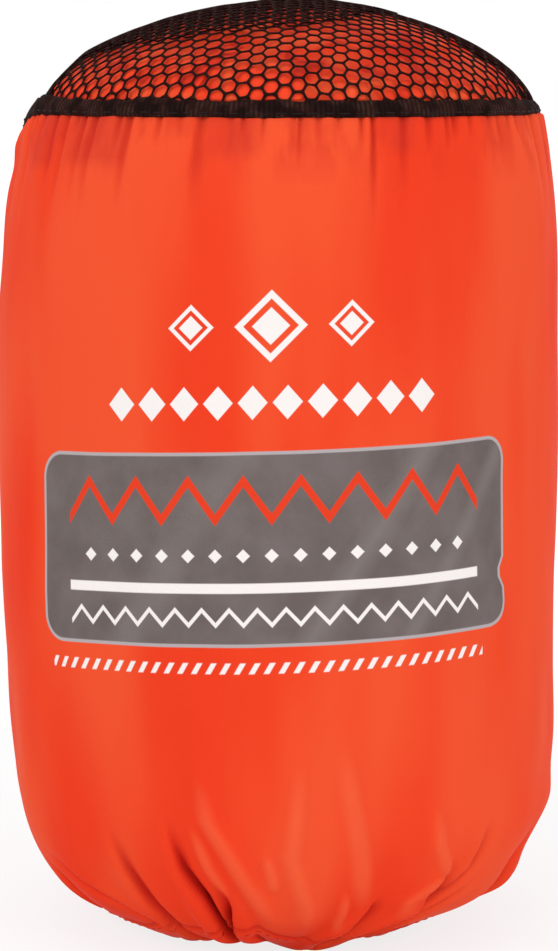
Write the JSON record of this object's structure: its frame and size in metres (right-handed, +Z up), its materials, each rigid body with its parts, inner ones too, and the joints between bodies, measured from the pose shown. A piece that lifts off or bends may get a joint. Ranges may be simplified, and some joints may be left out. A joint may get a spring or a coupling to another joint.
{
  "type": "packed bothy bag",
  "caption": "Group shelter packed in a drawcord stuff sack, with a domed net over its top end and a spring cord lock tucked inside its gathered mouth.",
  "frame": {"origin": "under the middle of the gathered hem that the sack stands on", "axes": "+Z up from the hem to the net end, -Y to the printed front, +X to the right seen from the front"},
  "size_m": [0.1292, 0.1212, 0.2156],
  "materials": {
    "sack_nylon": "satin coated nylon",
    "shelter_nylon": "crumpled coated nylon",
    "net": "knitted polyester net",
    "binding_tape": "woven tape",
    "cord": "braided cord",
    "lock_plastic": "moulded acetal",
    "spring_steel": "drawn wire",
    "seat_fabric": "heavy coated nylon",
    "window_film": "clear soft film",
    "reflective_tape": "grey retroreflective tape"
  },
  "bodies": {
    "sack": {"sack_body": "sack_nylon", "drawcord_channel": "sack_nylon", "mesh_end": "net", "mesh_binding": "binding_tape", "drawcord": "cord", "tail_knot": "cord", "seat_panel_1": "seat_fabric", "seat_panel_2": "seat_fabric", "window_film": "window_film", "shelter_wall_front": "shelter_nylon", "shelter_wall_back": "shelter_nylon", "vent_tube_1": "shelter_nylon", "vent_tube_2": "shelter_nylon", "reflective_strip_1": "reflective_tape", "reflective_strip_2": "reflective_tape", "shelter_roof": "shelter_nylon"},
    "cord_lock": {"cord_lock_barrel": "lock_plastic", "cord_lock_spring": "spring_steel"},
    "plunger": {"cord_lock_plunger": "lock_plastic"}
  },
  "joints": [
    {"name": "cord_lock_slide", "type": "slide", "parent": "sack", "child": "cord_lock", "axis": [0, -1, 0], "range_m": [0, 0.0105]},
    {"name": "plunger_press", "type": "slide", "parent": "cord_lock", "child": "plunger", "axis": [-1, 0, 0], "range_m": [0, 0.003], "stiffness_N_per_m": 500, "springref_m": -0.004, "deforming": ["cord_lock_spring"]}
  ]
}
